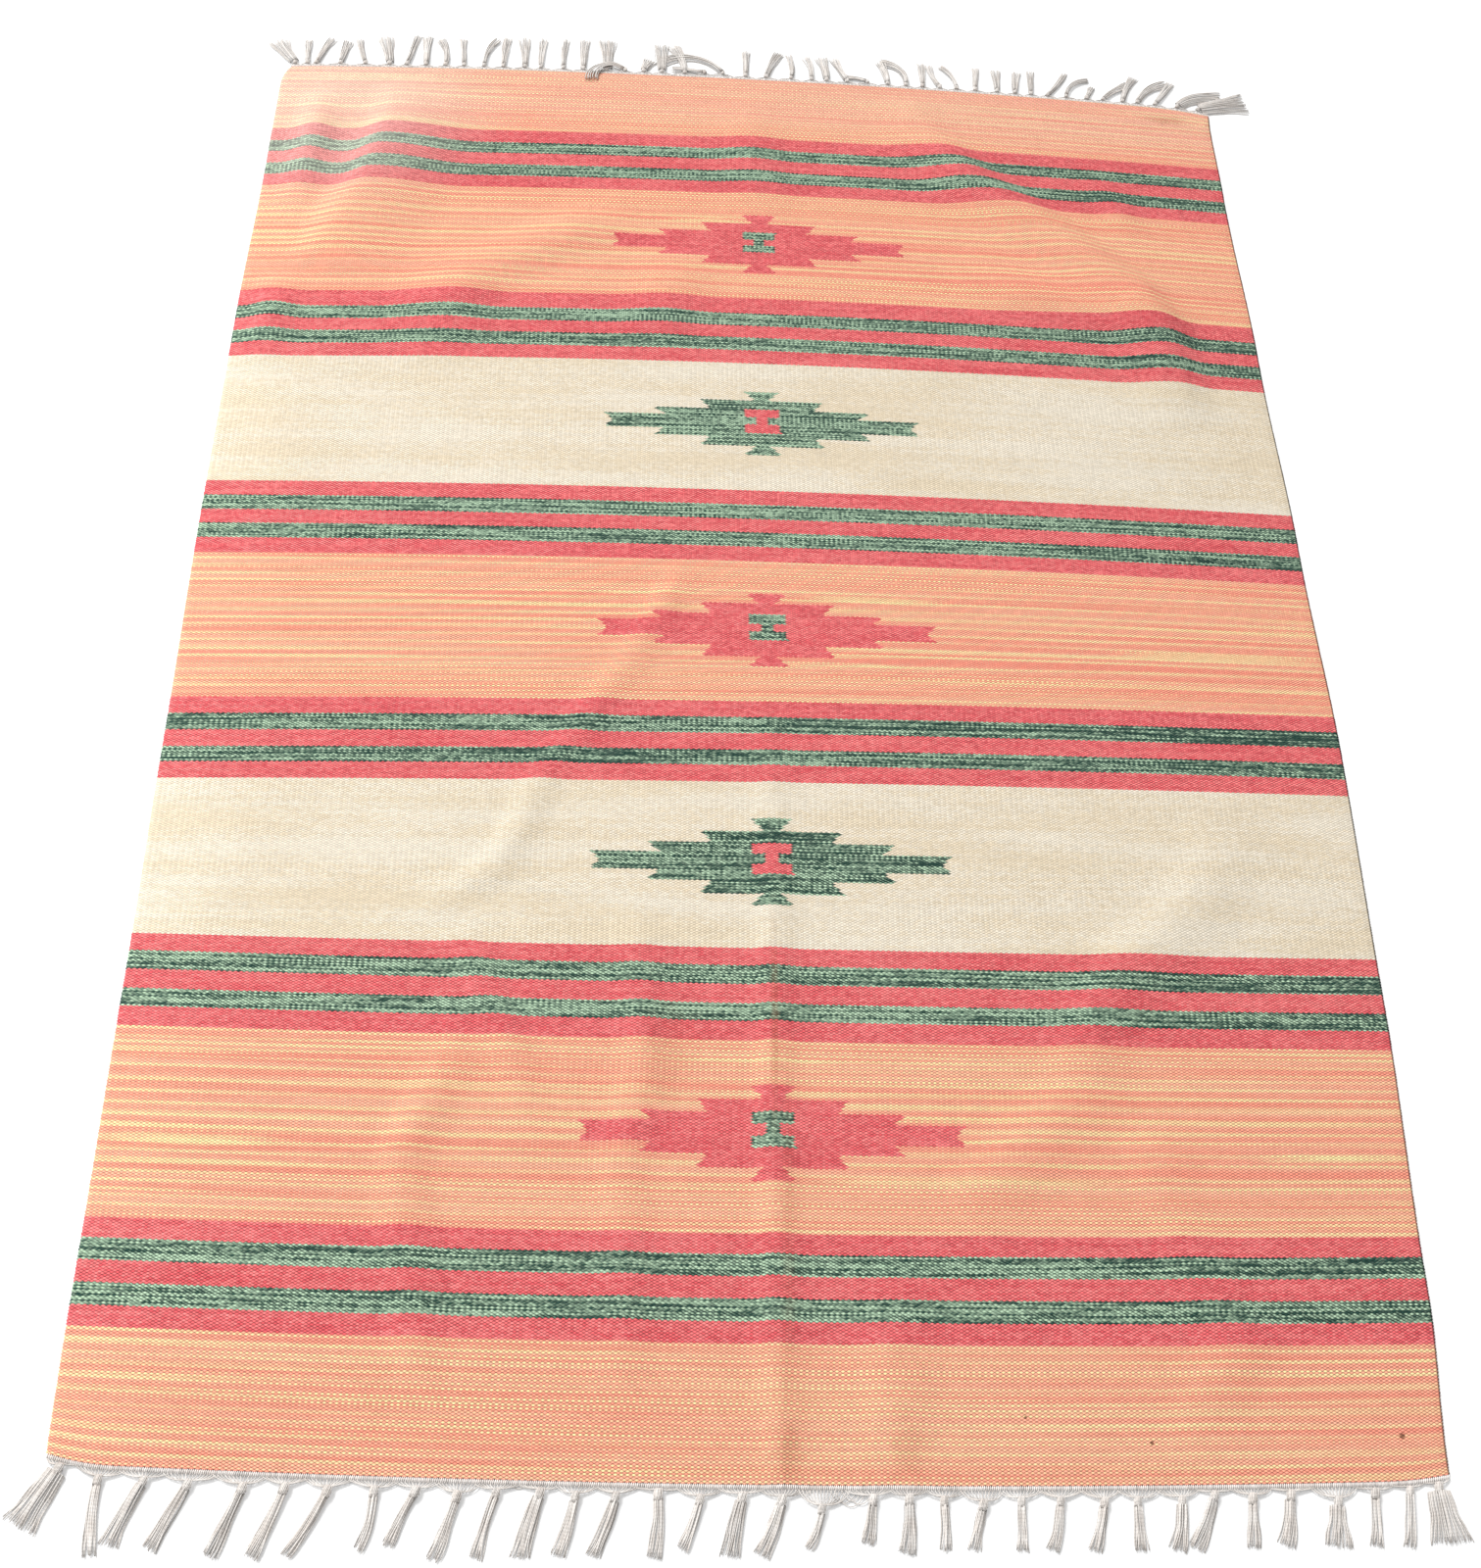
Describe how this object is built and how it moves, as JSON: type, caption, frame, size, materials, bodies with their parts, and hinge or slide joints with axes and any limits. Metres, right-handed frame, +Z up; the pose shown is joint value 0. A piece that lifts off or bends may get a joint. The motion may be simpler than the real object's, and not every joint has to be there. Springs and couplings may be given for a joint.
{
  "type": "kilim rug",
  "caption": "Flat-woven striped rug with stepped diamond motifs, white end headings and knotted warp fringe, lying on a floor with its wrinkles.",
  "frame": {"origin": "middle of the rug and its fringe, on the floor under it", "axes": "+X along the weft, across the width; +Y along the warp, towards the far fringe; +Z up from the floor"},
  "size_m": [1.2643, 1.9758, 0.0191],
  "materials": {
    "field_weave": "weft-faced plain weave in cotton, matt, coral, orange, yellow, green and cream bands",
    "end_heading": "undyed twined cotton, matt",
    "warp_fringe": "undyed plied cotton warps, knotted, matt"
  },
  "bodies": {
    "root": {"rug_field": "field_weave", "heading_near": "end_heading", "heading_far": "end_heading", "fringe_near": "warp_fringe", "fringe_far": "warp_fringe"}
  },
  "joints": []
}
